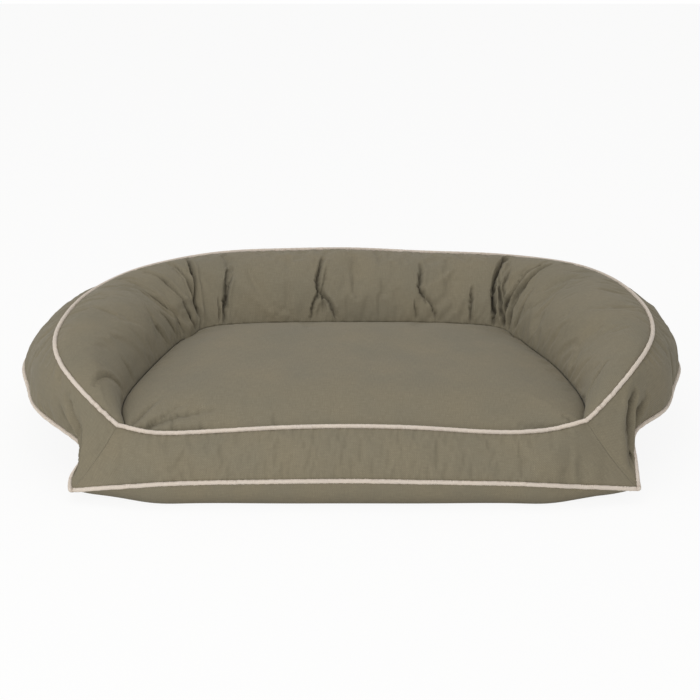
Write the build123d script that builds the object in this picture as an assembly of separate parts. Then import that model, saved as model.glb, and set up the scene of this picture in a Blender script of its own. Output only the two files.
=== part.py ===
from build123d import *
from collections import namedtuple
import math
import os

# Bolster dog bed: a U-shaped stuffed bolster and a crowned D-shaped seat cushion in one sewn
# cover with piped seams. Millimetres, +Z up, -Y is the open front, +X the right-hand arm.
# The origin is the middle of the footprint's box, on the floor.

# Overall sizes over the lower piping
overall_width = 1067
overall_depth = 762

# Cover cloth, inner cases and the play between them
cover_thickness = 1.2
cover_play = 1.3
liner_thickness = 0.6
fit_gap = 0.3
seam_gap = 1.0

# Piping: a bias-cut sleeve over a filler cord, standing proud of its seam
piping_diameter = 6.6
piping_sleeve_wall = 0.7
piping_proud = 3.3
piping_gap = 1.5

# Heights of the seams above the floor
seat_seam_height = 112
upper_seam_height = 200
lower_seam_height = 105
front_upper_seam_height = 113
front_lower_seam_height = 42

# How far each panel swells out past the straight line between its seams
crown_bulge = 42
band_bulge = 15
base_bulge = 12
front_band_bulge = 10
front_base_bulge = 5

# Seat cushion: a D in plan
seat_back_half_width = 205
seat_back_setback = 195
seat_corner_radius = 120
seat_corner_end_degrees = 10
seat_front_half_width = 340
seat_crown_height = 44
seat_crown_outlines = 6
seat_crown_step_degrees = 12
seat_crown_fullness = 0.7
seat_front_bow = 6
foam_height = 72

# Where the front seams run
front_upper_seam_setback = 54
front_floor_setback = 18

# Strip of floor at the base panel's edge, and the step down to the thinner cloth inside it
base_edge_width = 30
base_edge_spare = 2
base_floor_step = 0.1

# Zip in the rear slope of the base panel
zip_length = 400
zip_tape_width = 12
zip_tape_thickness = 0.7
zip_tape_gap = 0.6
zip_below_seam = 44
coil_width = 3.0
coil_thickness = 2.2
slider_length = 11
slider_wall = 1.0
slider_plate_thickness = 1.5
slider_lug_height = 3.2
slider_lug_length = 3.2
slider_lug_width = 1.1
nose_rounding_share = 0.9
coil_easing_share = 0.25
tab_pin_diameter = 1.3
tab_pin_clearance = 0.05
tab_eye_wall = 1.0
tab_length = 26
tab_width = 6.0
tab_thickness = 1.4
tab_hole_length = 8
tab_hole_width = 3
stop_length = 4
stop_thickness = 0.8

# Sizes that follow from those above
piping_radius = piping_diameter / 2
seam_half_width = overall_width / 2 - piping_radius - piping_proud
seam_half_depth = overall_depth / 2 - piping_radius - piping_proud
piping_room = piping_radius + piping_gap
liner_inset = cover_thickness + cover_play
cavity_inset = liner_inset + liner_thickness
filling_inset = cavity_inset + fit_gap
seat_back_y = seam_half_depth - seat_back_setback
front_upper_seam_y = front_upper_seam_setback - seam_half_depth

# Upright sections through the bolster, from the middle of the back round the right arm to the
# mitre seam at the front corner. Each row gives, in order: how far round the seat seam the
# section starts (back line 0 to 1, corner 1 to 2, side 2 to 3), the lower seam's place in plan
# as shares of the half width and half depth, the upper seam and the floor edge as shares of the
# way from the seat seam to the lower seam, the upper and lower seams' heights as shares of
# theirs, and the crown, band and base bulges as shares of theirs.
bolster_section_shares = [
    (0.00, 0.000, 1.000, 0.77, 0.57, 1.010, 1.000, 0.90, 0.73, 1.00),
    (0.50, 0.1945, 1.000, 0.765, 0.57, 0.997, 1.000, 0.90, 0.73, 1.00),
    (0.97, 0.3774, 1.000, 0.75, 0.57, 0.974, 1.000, 0.90, 0.76, 1.00),
    (1.14, 0.530, 0.977, 0.72, 0.58, 0.956, 1.000, 0.92, 0.84, 1.00),
    (1.36, 0.697, 0.888, 0.68, 0.60, 0.945, 1.000, 0.95, 0.93, 1.00),
    (1.62, 0.825, 0.720, 0.65, 0.60, 0.950, 1.000, 1.00, 1.00, 1.00),
    (2.00, 0.945, 0.465, 0.65, 0.59, 0.970, 1.000, 1.00, 1.00, 1.00),
    (2.17, 0.990, 0.130, 0.65, 0.57, 0.995, 1.000, 1.00, 0.93, 0.83),
    (2.40, 0.997, -0.160, 0.66, 0.52, 1.005, 0.990, 1.00, 0.80, 0.67),
    (2.56, 0.967, -0.365, 0.71, 0.48, 0.985, 0.935, 0.90, 0.80, 0.33),
    (2.68, 0.918, -0.515, 0.76, 0.42, 0.960, 0.885, 0.82, 0.80, 0.20),
    (2.78, 0.853, -0.630, 0.88, 0.46, 0.920, 0.810, 0.72, 0.75, 0.17),
    (2.86, 0.807, -0.716, 0.99, 0.58, 0.865, 0.720, 0.58, 0.67, 0.17),
    (2.91, 0.793, -0.782, 0.83, 0.65, 0.805, 0.620, 0.46, 0.60, 0.20),
    (2.95, 0.795, -0.850, 0.56, 0.65, 0.730, 0.485, 0.30, 0.55, 0.25),
    (3.00, 0.802, -0.950, 0.13, 0.60, 0.585, 0.295, 0.10, 0.50, 0.33),
]

# Sections across the open front between the mitre seams, fanned out towards the corners: the
# places across of the upper and lower seams as shares of the seat's front half width, and the
# lower seam's distance from the middle as a share of the half depth
front_section_shares = [
    (0.95, 1.10, 0.984),
    (0.78, 0.80, 0.996),
    (0.40, 0.40, 1.000),
    (0.00, 0.00, 1.000),
    (-0.40, -0.40, 1.000),
    (-0.78, -0.80, 0.996),
    (-0.95, -1.10, 0.984),
]

# How far round the seat seam the side arc goes before the straight front corner
seat_side_end_share = 2.93

# Heights of the seat cushion's outlines as shares of its rim height
seat_wall_shares = (0.2, 0.37, 0.55, 0.75, 0.9)

Section = namedtuple("Section", "origin across seat upper lower floor crown band base")
Bend = namedtuple("Bend", "start end centre radius")


def seat_corner_end():
    """The plan point where the seat's back corner runs into its side."""
    turn = math.radians(seat_corner_end_degrees)
    centre_y = seat_back_y - seat_corner_radius
    return Vector(
        seat_back_half_width + seat_corner_radius * math.cos(turn),
        centre_y + seat_corner_radius * math.sin(turn),
    )


def seat_side():
    """Centre, radius and end angle of the long arc along the seat's side."""
    turn = math.radians(seat_corner_end_degrees)
    start = seat_corner_end()
    end = Vector(seat_front_half_width, front_upper_seam_y)
    inward = Vector(-math.cos(turn), -math.sin(turn))
    span = end - start
    radius = span.length**2 / (2 * span.dot(inward))
    centre = start + inward * radius
    end_turn = math.atan2(end.Y - centre.Y, end.X - centre.X)
    return centre, radius, turn, end_turn


def seat_edge(run, inset=0):
    """A plan point on the seat seam's right half, set inwards by inset."""
    if run <= 1:
        return Vector(seat_back_half_width * run, seat_back_y - inset)
    if run <= 2:
        centre = Vector(seat_back_half_width, seat_back_y - seat_corner_radius)
        end_turn = math.radians(seat_corner_end_degrees)
        turn = math.pi / 2 + (end_turn - math.pi / 2) * (run - 1)
        radius = seat_corner_radius - inset
    else:
        centre, radius, start_turn, end_turn = seat_side()
        turn = start_turn + (end_turn - start_turn) * (run - 2)
        radius = radius - inset
    return centre + Vector(math.cos(turn), math.sin(turn)) * radius


def bolster_section(row):
    """One upright section: plan origin on the seat seam, outward direction, and its points."""
    run, out_x, out_y, upper_across, floor_across, upper_z, lower_z, crown, band, base = row
    inner = seat_edge(run)
    outer = Vector(out_x * seam_half_width, out_y * seam_half_depth)
    reach = (outer - inner).length
    return Section(
        origin=inner,
        across=(outer - inner).normalized(),
        seat=Vector(0, seat_seam_height),
        upper=Vector(upper_across * reach, upper_z * upper_seam_height),
        lower=Vector(reach, lower_z * lower_seam_height),
        floor=Vector(floor_across * reach, 0),
        crown=crown * crown_bulge,
        band=band * band_bulge,
        base=base * base_bulge,
    )


def front_section(row):
    """One upright section across the open front, from the upper seam to the lower one."""
    upper_share, lower_share, depth_share = row
    upper = Vector(upper_share * seat_front_half_width, front_upper_seam_y)
    lower = Vector(lower_share * seat_front_half_width, -depth_share * seam_half_depth)
    reach = (lower - upper).length
    return Section(
        origin=upper,
        across=(lower - upper).normalized(),
        seat=None,
        upper=Vector(0, front_upper_seam_height),
        lower=Vector(reach, front_lower_seam_height),
        floor=Vector(reach - front_floor_setback, 0),
        crown=0,
        band=front_band_bulge,
        base=front_base_bulge,
    )


def mirrored(section):
    """The same section on the other side of the bed."""
    flip = Vector(-section.origin.X, section.origin.Y)
    return section._replace(origin=flip, across=Vector(-section.across.X, section.across.Y))


def moved(section, distance):
    """The section shifted along the bed's edge, square to itself."""
    square = Vector(-section.across.Y, section.across.X)
    return section._replace(origin=section.origin + square * distance)


def place(section, point):
    """A section's own (outwards, up) point in space."""
    flat = section.origin + section.across * point.X
    return Vector(flat.X, flat.Y, point.Y)


def bend(start, end, bulge):
    """The arc from start to end that swells to its left by bulge."""
    chord = end - start
    along = chord.normalized()
    left = Vector(-along.Y, along.X)
    radius = (chord.length**2 / 4 + bulge**2) / (2 * bulge)
    return Bend(start, end, (start + end) / 2 + left * (bulge - radius), radius)


def outward(arc, point):
    """The arc's outward direction at a point on it."""
    return (point - arc.centre).normalized()


def middle(arc, inset=0):
    """The arc's middle point, set in by inset."""
    half_way = ((arc.start + arc.end) / 2 - arc.centre).normalized()
    return arc.centre + half_way * (arc.radius - inset)


def stepped(arc, point, length):
    """The point a length further along the arc, clockwise."""
    turn = math.atan2(point.Y - arc.centre.Y, point.X - arc.centre.X) - length / arc.radius
    return arc.centre + Vector(math.cos(turn), math.sin(turn)) * arc.radius


def arc_edge(section, start, through, end):
    return Edge.make_three_point_arc(
        place(section, start), place(section, through), place(section, end)
    )


def line_edge(section, start, end):
    return Edge.make_line(place(section, start), place(section, end))


def corner_inset(point, first, second, inset):
    """The corner between two outward directions, set in by inset from both."""
    return point - (first + second) * (inset / (1 + first.dot(second)))


def seam_way(before, section, after, seam):
    """The direction of a seam through a section and its neighbours."""
    points = [place(one, getattr(one, seam)) for one in (before, section, after)]
    return tangent_at(*points)


def square_trim(section, arc, point, room, way):
    """How far along an arc it is to a place the room away from the seam, square to the seam."""
    along = outward(arc, point)
    slope = place(section, point + Vector(along.Y, -along.X)) - place(section, point)
    return room / slope.cross(way).length


def strip_face(section, arc, start_trim, end_trim):
    """A cloth panel's section: the arc, as thick as the cover, cut back at both ends."""
    start = stepped(arc, arc.start, start_trim)
    end = stepped(arc, arc.end, -end_trim)
    trimmed = Bend(start, end, arc.centre, arc.radius)
    start_in = start - outward(arc, start) * cover_thickness
    end_in = end - outward(arc, end) * cover_thickness
    return Face(
        Wire(
            [
                arc_edge(section, start, middle(trimmed), end),
                line_edge(section, end, end_in),
                arc_edge(section, end_in, middle(trimmed, cover_thickness), start_in),
                line_edge(section, start_in, start),
            ]
        )
    )


def crown_arc(section):
    return bend(section.seat, section.upper, section.crown)


def band_arc(section):
    return bend(section.upper, section.lower, section.band)


def base_arc(section):
    return bend(section.lower, section.floor, section.base)


def crown_face(section, ways):
    """The bolster panel's section, cut back beside the seat and the upper piping."""
    arc = crown_arc(section)
    end_trim = square_trim(section, arc, arc.end, piping_room, ways[0])
    return strip_face(section, arc, seam_gap, end_trim)


def band_face(section, ways):
    """A band's section, cut back beside the pipings."""
    arc = band_arc(section)
    start_trim = square_trim(section, arc, arc.start, piping_room, ways[0])
    end_trim = square_trim(section, arc, arc.end, piping_room, ways[1])
    return strip_face(section, arc, start_trim, end_trim)


def tray_face(section, ways, inset, spare):
    """A block that fills the base panel's edge, set in by inset and larger at its open sides."""
    arc = base_arc(section)
    rim = stepped(arc, arc.start, square_trim(section, arc, arc.start, piping_room, ways[1]))
    top = rim.Y + spare
    back = section.floor.X - base_edge_width - spare
    start = Vector(reach_at(arc, top, inset), top)
    end = Vector(reach_at(arc, inset, inset), inset)
    face_arc = Bend(start, end, arc.centre, arc.radius - inset)
    return Face(
        Wire(
            [
                arc_edge(section, start, middle(face_arc), end),
                line_edge(section, end, Vector(back, inset)),
                line_edge(section, Vector(back, inset), Vector(back, top)),
                line_edge(section, Vector(back, top), start),
            ]
        )
    )


def tray_edge(sections, ways):
    """The base panel's rising edge and the strip of floor beside it, along one run of sections."""
    pairs = list(zip(sections, ways))
    outer = lofted([tray_face(section, way, 0, 0) for section, way in pairs])
    inner = lofted([tray_face(section, way, cover_thickness, base_edge_spare) for section, way in pairs])
    return (outer - inner).solids()[0]


def reach_at(arc, height, inset):
    """How far out an arc, set in by inset, reaches at a height."""
    radius = arc.radius - inset
    return arc.centre.X + math.sqrt(radius**2 - (height - arc.centre.Y) ** 2)


def insert_floor(inset):
    """The height of an insert's underside, a close fit on the base panel."""
    return cover_thickness + fit_gap + inset - liner_inset


def insert_face(section, inset):
    """The stuffed insert's closed section, set in from the cover by inset."""
    crown = crown_arc(section)
    band = band_arc(section)
    base = base_arc(section)
    inwards = Vector(-1, 0)
    top_in = corner_inset(section.seat, inwards, outward(crown, section.seat), inset)
    upper = section.upper
    upper_in = corner_inset(upper, outward(crown, upper), outward(band, upper), inset)
    lower = section.lower
    lower_in = corner_inset(lower, outward(band, lower), outward(base, lower), inset)
    floor_height = insert_floor(inset)
    floor_in = Vector(reach_at(base, floor_height, inset), floor_height)
    foot_in = Vector(inset, floor_height)
    return Face(
        Wire(
            [
                arc_edge(section, top_in, middle(crown, inset), upper_in),
                arc_edge(section, upper_in, middle(band, inset), lower_in),
                arc_edge(section, lower_in, middle(base, inset), floor_in),
                line_edge(section, floor_in, foot_in),
                line_edge(section, foot_in, top_in),
            ]
        )
    )


right_half = [bolster_section(row) for row in bolster_section_shares]
right_mitre = right_half[-1]
left_mitre = mirrored(right_mitre)


def round_the_bolster(end_inset):
    """All sections from the left mitre round the back to the right one."""
    right = right_half[:-1] + [moved(right_mitre, end_inset)]
    left = [mirrored(section) for section in right[1:]]
    return left[::-1] + right


def across_the_front(end_inset):
    """All sections from the right mitre across the front to the left one."""
    first = moved(right_mitre, -end_inset)
    return [first] + [front_section(row) for row in front_section_shares] + [mirrored(first)]


def lofted(faces):
    return loft(sections=faces).solids()[0]


back_sections = round_the_bolster(fit_gap)
front_sections = across_the_front(fit_gap)
ring_sections = round_the_bolster(0) + across_the_front(0)[1:-1]


def bolster_insert(inset):
    """The bolster's filling or a case round it, all in from the cover by inset."""
    end_inset = inset - liner_inset + fit_gap
    return lofted([insert_face(section, inset) for section in round_the_bolster(end_inset)])


def outward_at_seam(first_arc, second_arc, point):
    """The direction between two panels' outward directions at the seam that joins them."""
    return (outward(first_arc, point) + outward(second_arc, point)).normalized()


def piping_point(on_seam, out, way):
    """The piping's centre: outwards from a point of its seam, square to the seam's direction."""
    square = out - way * out.dot(way)
    return on_seam + square.normalized() * piping_proud


def upper_piping_point(section, ways):
    on_seam = place(section, section.upper)
    if section.seat is None:
        return piping_point(on_seam, Vector(0, -1, 1), ways[0])
    direction = outward_at_seam(crown_arc(section), band_arc(section), section.upper)
    return piping_point(on_seam, place(section, section.upper + direction) - on_seam, ways[0])


def lower_piping_point(section, ways):
    on_seam = place(section, section.lower)
    direction = outward_at_seam(band_arc(section), base_arc(section), section.lower)
    return piping_point(on_seam, place(section, section.lower + direction) - on_seam, ways[1])


def tangent_at(before, point, after):
    """The direction at a point of the circle through it and its neighbours."""
    back = point - before
    ahead = after - point
    return (back / back.length**2 + ahead / ahead.length**2).normalized()


def ring_ways():
    """The upper and lower seams' directions at each section, all round the bed."""
    count = len(ring_sections)
    ways = []
    for i in range(count):
        near = (ring_sections[i - 1], ring_sections[i], ring_sections[(i + 1) % count])
        ways.append((seam_way(*near, "upper"), seam_way(*near, "lower")))
    return ways


def tangent_edge(start, direction, end):
    """An arc that leaves start in the given direction, or a line where it is straight."""
    chord = end - start
    if direction.cross(chord).length < chord.length / 1000000:
        return Edge.make_line(start, end)
    return Edge.make_tangent_arc(start, direction, end)


def two_arcs(start, start_way, end, end_way):
    """Two arcs that run smoothly from one point and direction to another."""
    span = end - start
    ways = start_way + end_way
    turn = 1 - start_way.dot(end_way)
    along = span.dot(ways)
    if turn < 1 / 1000000:
        reach = span.dot(span) / (2 * along)
    else:
        reach = (math.sqrt(along**2 + 2 * turn * span.dot(span)) - along) / (2 * turn)
    first = start + start_way * reach
    last = end - end_way * reach
    joint = (first + last) / 2
    return [
        tangent_edge(start, start_way, joint),
        tangent_edge(joint, (last - first).normalized(), end),
    ]


all_ways = ring_ways()
back_ways = all_ways[: len(back_sections)]
front_ways = all_ways[len(back_sections) - 1:] + all_ways[:1]


def smooth_ring(points):
    """A closed smooth path of arcs through the points."""
    count = len(points)
    ways = [
        tangent_at(points[i - 1], points[i], points[(i + 1) % count]) for i in range(count)
    ]
    edges = []
    for i in range(count):
        j = (i + 1) % count
        edges += two_arcs(points[i], ways[i], points[j], ways[j])
    return Wire(edges), ways[0]


def tube(ring, start, way, radius):
    """A round solid along the ring."""
    face = Plane(origin=start, z_dir=way) * Circle(radius)
    made = sweep(sections=face, path=ring).solids()[0]
    print("tube", round(made.volume / (math.pi * radius**2 * ring.length), 4))
    return made


def piping(ring_points):
    """A piping's sleeve and the filler cord inside it, from the middle of the back round."""
    first = len(right_half) - 1
    points = ring_points[first:] + ring_points[:first]
    ring, way = smooth_ring(points)
    sleeve_bore = piping_radius - piping_sleeve_wall
    sleeve = tube(ring, points[0], way, piping_radius) - tube(ring, points[0], way, sleeve_bore)
    cord = tube(ring, points[0], way, sleeve_bore - fit_gap)
    return sleeve, cord


def seat_outline(height, inset, front_y, scale=1):
    """The D-shaped outline of the seat at a height, set in by inset and scaled about its middle."""
    middle_y = (seat_back_y + front_upper_seam_y) / 2

    def sized(point, side):
        return Vector(
            side * point.X * scale, middle_y + (point.Y - middle_y) * scale, height
        )

    def half(side):
        back = seat_edge(1, inset)
        corner_middle = seat_edge(1.5, inset)
        corner = seat_edge(2, inset)
        side_middle = seat_edge(1 + seat_side_end_share / 2, inset)
        side_end = seat_edge(seat_side_end_share, inset)
        front = Vector(side_end.X, front_y + seat_front_bow)
        return [
            Edge.make_three_point_arc(
                sized(back, side), sized(corner_middle, side), sized(corner, side)
            ),
            Edge.make_three_point_arc(
                sized(corner, side), sized(side_middle, side), sized(side_end, side)
            ),
            Edge.make_line(sized(side_end, side), sized(front, side)),
        ]

    right = half(1)
    left = half(-1)
    back_line = Edge.make_line(left[0].position_at(0), right[0].position_at(0))
    front_middle = sized(Vector(0, front_y), 1)
    front_line = Edge.make_three_point_arc(
        right[2].position_at(1), front_middle, left[2].position_at(1)
    )
    return Wire([back_line] + right + [front_line] + left[::-1])


def front_wall(height, inset):
    """Where the inside of the front's cloth is at a height."""
    section = front_section((0, 0, 1))
    arc = base_arc(section) if height < front_lower_seam_height else band_arc(section)
    return front_upper_seam_y - reach_at(arc, height, inset)


def seat_body(low, high, inset):
    """The seat cushion's upright part between two heights."""
    rim = seat_seam_height
    levels = [share * rim for share in seat_wall_shares] + [foam_height, foam_height + fit_gap]
    heights = [low] + [level for level in sorted(levels) if low < level < high]
    fronts = [front_wall(height, inset) for height in heights]
    if high < rim - inset:
        fronts.append(front_wall(high, inset))
    else:
        fronts.append(seat_rim_front(inset))
    faces = [
        Face(seat_outline(height, inset, front_y))
        for height, front_y in zip(heights + [high], fronts)
    ]
    return loft(sections=faces, ruled=True).solids()[0]


def seat_rim_front(inset):
    """Where the front of the seat's crown starts, clear of the piping."""
    return front_wall(seat_seam_height - inset, inset) + piping_room


def seat_dome(inset):
    """The seat's crown above its rim."""
    rim = seat_seam_height - inset
    front_y = seat_rim_front(inset)
    turns = [math.radians(i * seat_crown_step_degrees) for i in range(seat_crown_outlines)]
    faces = []
    for turn in turns:
        height = rim + math.sin(turn) * seat_crown_height
        size = math.cos(turn) ** seat_crown_fullness
        faces.append(Face(seat_outline(height, inset, front_y, size)))
    return lofted(faces)


def seat_insert(low, inset):
    """The seat's filling or a case round it, from a height up to its crown."""
    body = seat_body(low, seat_seam_height - inset, inset)
    return (body + seat_dome(inset)).solids()[0]


def floor_cloth(sections):
    """The middle of the base panel, let into the strip round it and a hair thinner."""
    inner_edge = [
        place(section, Vector(section.floor.X - base_edge_width / 2, base_floor_step))
        for section in sections
    ]
    outline = Face(Wire.make_polygon(inner_edge, close=True))
    return extrude(outline, amount=cover_thickness - 2 * base_floor_step, dir=(0, 0, 1))


def zip_frame():
    """The zip's own plane: x along the zip, y up the slope, z out of the cloth."""
    section = right_half[0]
    arc = base_arc(section)
    on_arc = stepped(arc, arc.start, zip_below_seam)
    out = outward(arc, on_arc)
    centre = place(section, on_arc - out * zip_tape_thickness)
    return Plane(origin=centre, x_dir=(-1, 0, 0), z_dir=(0, out.X, out.Y))


def block(x_low, x_high, y_low, y_high, z_low, z_high):
    """A box between two corners."""
    size = (x_high - x_low, y_high - y_low, z_high - z_low)
    middle_point = ((x_low + x_high) / 2, (y_low + y_high) / 2, (z_low + z_high) / 2)
    return Pos(*middle_point) * Box(*size)


def tape(side):
    """One zip tape, on the side of the zip line that side says."""
    low, high = sorted((side * zip_tape_gap / 2, side * zip_tape_width))
    return block(-zip_length / 2, zip_length / 2, low, high, 0, zip_tape_thickness)


def coil(side):
    """One nylon coil, taken as a bar with its edges eased, along its tape's edge."""
    low, high = sorted((side * zip_tape_gap / 2, side * coil_width))
    top = zip_tape_thickness + coil_thickness
    half_length = zip_length / 2 - stop_length - fit_gap
    bar = block(-half_length, half_length, low, high, zip_tape_thickness, top)
    upper_edges = bar.edges().filter_by(Axis.X).group_by(Axis.Z)[-1]
    return chamfer(upper_edges, coil_thickness * coil_easing_share)


slider_half_width = coil_width + fit_gap + slider_wall
slider_top = zip_tape_thickness + coil_thickness + fit_gap + slider_plate_thickness
slider_rest = zip_length / 2 - stop_length - slider_length / 2 - fit_gap
pin_height = slider_top + slider_lug_height - tab_pin_diameter
pin_place = slider_length / 4


def slider():
    """The slider's outer half: a plate over the coils, two flanges and two lugs for the tab."""
    half = slider_length / 2
    plate_low = slider_top - slider_plate_thickness
    body = block(-half, half, -slider_half_width, slider_half_width, plate_low, slider_top)
    flange_low = zip_tape_thickness + fit_gap
    for side in (-1, 1):
        low, high = sorted((side * slider_half_width, side * (slider_half_width - slider_wall)))
        body += block(-half, half, low, high, flange_low, slider_top)
        eye_half = tab_width / 2 + fit_gap
        low, high = sorted((side * eye_half, side * (eye_half + slider_lug_width)))
        lug_half = slider_lug_length / 2
        lug_top = slider_top + slider_lug_height
        body += block(pin_place - lug_half, pin_place + lug_half, low, high, plate_low, lug_top)
    pin_reach = tab_width + 2 * fit_gap + slider_lug_width
    pin = Pos(pin_place, 0, pin_height) * Rot(90, 0, 0) * Cylinder(tab_pin_diameter / 2, pin_reach)
    nose = body.edges().filter_by(Axis.Z).group_by(Axis.X)[0].sort_by(Axis.Y)
    body = fillet([nose[0], nose[-1]], slider_wall * nose_rounding_share)
    return Pos(slider_rest, 0, 0) * (body + pin)


def pull_tab():
    """The pull tab, lying along the zip from its pin."""
    eye_radius = tab_pin_diameter / 2 + tab_pin_clearance + tab_eye_wall
    eye = Rot(90, 0, 0) * Cylinder(eye_radius, tab_width)
    blade_low = -tab_thickness / 2
    blade = block(-tab_length, 0, -tab_width / 2, tab_width / 2, blade_low, -blade_low)
    blade = fillet(blade.edges().filter_by(Axis.Z).group_by(Axis.X)[0], tab_width / 3)
    hole_middle = tab_length - tab_hole_length / 2 - tab_hole_width
    hole = Pos(-hole_middle, 0, 0) * extrude(
        SlotOverall(tab_hole_length, tab_hole_width), amount=tab_thickness, both=True
    )
    bore = Rot(90, 0, 0) * Cylinder(tab_pin_diameter / 2 + tab_pin_clearance, 2 * tab_width)
    return Pos(slider_rest + pin_place, 0, pin_height) * (blade + eye - hole - bore)


def stop(side):
    """A clip in line with both coils at one end of the zip."""
    low, high = sorted((side * zip_length / 2, side * (zip_length / 2 - stop_length)))
    half = coil_width
    top = zip_tape_thickness + coil_thickness + stop_thickness
    return block(low, high, -half, half, zip_tape_thickness, top)


def base_panel():
    """The base panel: the flat on the floor, its rising edge all round and the zip's slot."""
    back = round_the_bolster(0)
    front = across_the_front(0)
    panel = floor_cloth(ring_sections)
    panel += tray_edge(back, back_ways)
    panel += tray_edge(front, front_ways)
    half_length = zip_length / 2 + fit_gap
    half_height = zip_tape_width + fit_gap
    depth = zip_tape_width / 2
    slot = block(-half_length, half_length, -half_height, half_height, -depth, depth)
    return (panel - zip_frame() * slot).solids()[0]


def seat_panel():
    """The cloth over the seat's crown."""
    return (seat_dome(seam_gap) - seat_dome(seam_gap + cover_thickness)).solids()[0]


def hollow(outer, inner):
    return (outer - inner).solids()[0]


parts = {}
parts["cover_seat_panel"] = seat_panel()
crown_sections = round_the_bolster(piping_radius)
parts["cover_bolster_panel"] = lofted([crown_face(*pair) for pair in zip(crown_sections, back_ways)])
parts["cover_outer_band"] = lofted([band_face(*pair) for pair in zip(back_sections, back_ways)])
parts["cover_front_band"] = lofted([band_face(*pair) for pair in zip(front_sections, front_ways)])
parts["cover_base_panel"] = base_panel()
ring_pairs = list(zip(ring_sections, all_ways))
upper_sleeve, upper_cord = piping([upper_piping_point(*pair) for pair in ring_pairs])
lower_sleeve, lower_cord = piping([lower_piping_point(*pair) for pair in ring_pairs])
parts["upper_piping_sleeve"] = upper_sleeve
parts["upper_piping_cord"] = upper_cord
parts["lower_piping_sleeve"] = lower_sleeve
parts["lower_piping_cord"] = lower_cord
parts["bolster_liner"] = hollow(bolster_insert(liner_inset), bolster_insert(cavity_inset))
parts["bolster_filling"] = bolster_insert(filling_inset)
parts["seat_liner"] = hollow(
    seat_insert(insert_floor(liner_inset), seam_gap + liner_inset),
    seat_insert(insert_floor(cavity_inset), seam_gap + cavity_inset),
)
seat_filling_inset = seam_gap + filling_inset
parts["seat_foam_core"] = seat_body(insert_floor(filling_inset), foam_height, seat_filling_inset)
parts["seat_fibre_layer"] = seat_insert(foam_height + fit_gap, seat_filling_inset)
zip_place = zip_frame()
parts["zip_upper_tape"] = zip_place * tape(1)
parts["zip_lower_tape"] = zip_place * tape(-1)
parts["zip_upper_coil"] = zip_place * coil(1)
parts["zip_lower_coil"] = zip_place * coil(-1)
parts["zip_slider"] = zip_place * slider()
parts["zip_pull_tab"] = zip_place * pull_tab()
parts["zip_closed_end_stop"] = zip_place * stop(1)
parts["zip_open_end_stop"] = zip_place * stop(-1)

os.makedirs("parts", exist_ok=True)
for name, shape in parts.items():
    export_step(shape, f"parts/{name}.step")
    box = shape.bounding_box()
    low_corner = [round(v, 1) for v in box.min]
    high_corner = [round(v, 1) for v in box.max]
    print(name, low_corner, high_corner, round(shape.volume / 1000, 1))
pin_at = zip_place.from_local_coords((slider_rest + pin_place, 0, pin_height))
print("pin", pin_at, "zip y", zip_place.y_dir, "zip z", zip_place.z_dir)
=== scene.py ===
import math
import bpy
import bmesh
import numpy as np
from mathutils import Matrix, Vector, noise


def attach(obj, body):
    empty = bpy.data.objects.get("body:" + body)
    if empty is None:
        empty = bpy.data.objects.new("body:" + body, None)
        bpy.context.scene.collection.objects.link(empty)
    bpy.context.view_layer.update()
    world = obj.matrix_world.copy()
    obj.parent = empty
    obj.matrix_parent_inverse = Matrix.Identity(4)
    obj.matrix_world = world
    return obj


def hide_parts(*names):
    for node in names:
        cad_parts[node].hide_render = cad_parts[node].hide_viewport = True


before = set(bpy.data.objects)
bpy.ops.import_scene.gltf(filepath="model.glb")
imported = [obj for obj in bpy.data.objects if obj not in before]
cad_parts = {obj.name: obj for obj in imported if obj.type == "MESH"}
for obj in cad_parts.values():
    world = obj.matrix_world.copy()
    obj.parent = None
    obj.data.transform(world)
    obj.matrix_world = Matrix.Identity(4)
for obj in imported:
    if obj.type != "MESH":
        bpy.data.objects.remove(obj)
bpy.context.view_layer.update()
scene = bpy.context.scene
mm = 0.001

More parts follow.
